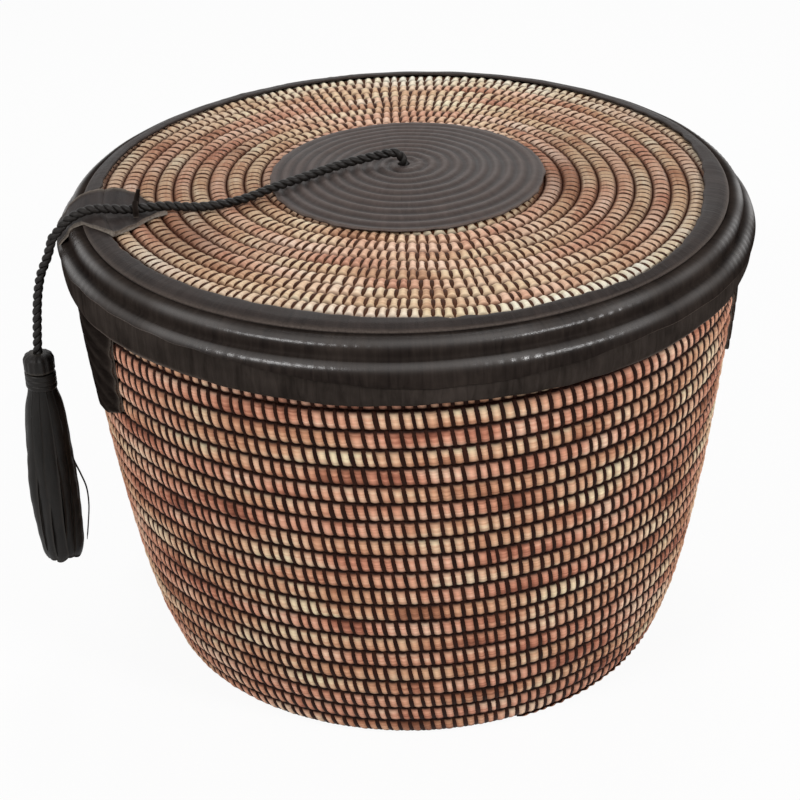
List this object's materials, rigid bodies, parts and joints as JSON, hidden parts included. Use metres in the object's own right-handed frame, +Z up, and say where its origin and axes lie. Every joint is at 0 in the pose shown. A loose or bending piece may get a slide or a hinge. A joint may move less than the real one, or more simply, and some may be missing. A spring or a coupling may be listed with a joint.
{
  "type": "decorative basket",
  "caption": "Round coiled-grass storage basket with a lift-off lid, leather rim and centre disc, side patches, and a twisted cord with a hanging tassel.",
  "frame": {"origin": "centre of the basket's flat underside, on the surface it stands on", "axes": "+Z up along the basket's axis; the side patches lie on +X and -X, and the lid's tab, cord and tassel lie on -X"},
  "size_m": [0.4108, 0.38, 0.2839],
  "materials": {
    "coiled_grass": "coils of tan, salmon and mauve-brown grass wrapped with near-black stitches, matt to satin",
    "black_leather": "black-brown leather with fine grain, satin, worn lighter along its beads and cut edges",
    "matte_leather": "faded grey-brown leather, matt, with pressed rings on the disc",
    "leather_cord": "two-ply twisted black leather cord, matt to satin"
  },
  "bodies": {
    "basket": {"basket_coil": "coiled_grass", "side_patch_left": "black_leather", "side_patch_right": "black_leather"},
    "lid": {"lid_coil": "coiled_grass", "rim_top_band": "matte_leather", "rim_roll": "black_leather", "rim_skirt": "black_leather", "lid_disc": "matte_leather", "rim_tab": "black_leather", "tab_thong": "black_leather", "lid_cord": "leather_cord", "cord_knot": "leather_cord"},
    "cord": {"hang_cord": "leather_cord"},
    "tassel": {"tassel_cap": "black_leather", "tassel_binding": "black_leather", "tassel_core": "leather_cord", "thong_outer_01": "black_leather", "thong_outer_02": "black_leather", "thong_outer_03": "black_leather", "thong_outer_04": "black_leather", "thong_outer_05": "black_leather", "thong_outer_06": "black_leather", "thong_outer_07": "black_leather", "thong_outer_08": "black_leather", "thong_outer_09": "black_leather", "thong_outer_10": "black_leather", "thong_outer_11": "black_leather", "thong_outer_12": "black_leather", "thong_inner_01": "black_leather", "thong_inner_02": "black_leather", "thong_inner_03": "black_leather", "thong_inner_04": "black_leather", "thong_inner_05": "black_leather", "thong_inner_06": "black_leather"}
  },
  "joints": [
    {"name": "lid_lift", "type": "slide", "parent": "basket", "child": "lid", "axis": [0, 0, 1], "range_m": [0, 0.15]},
    {"name": "cord_swing", "type": "hinge", "parent": "lid", "child": "cord", "pos_m": [-0.192, -0.0085, 0.2536], "axis": [1, 0, 0], "range_deg": [-35, 35]},
    {"name": "tassel_swing", "type": "hinge", "parent": "cord", "child": "tassel", "pos_m": [-0.2068, -0.0085, 0.1874], "axis": [0, 1, 0], "range_deg": [-10, 50]}
  ]
}
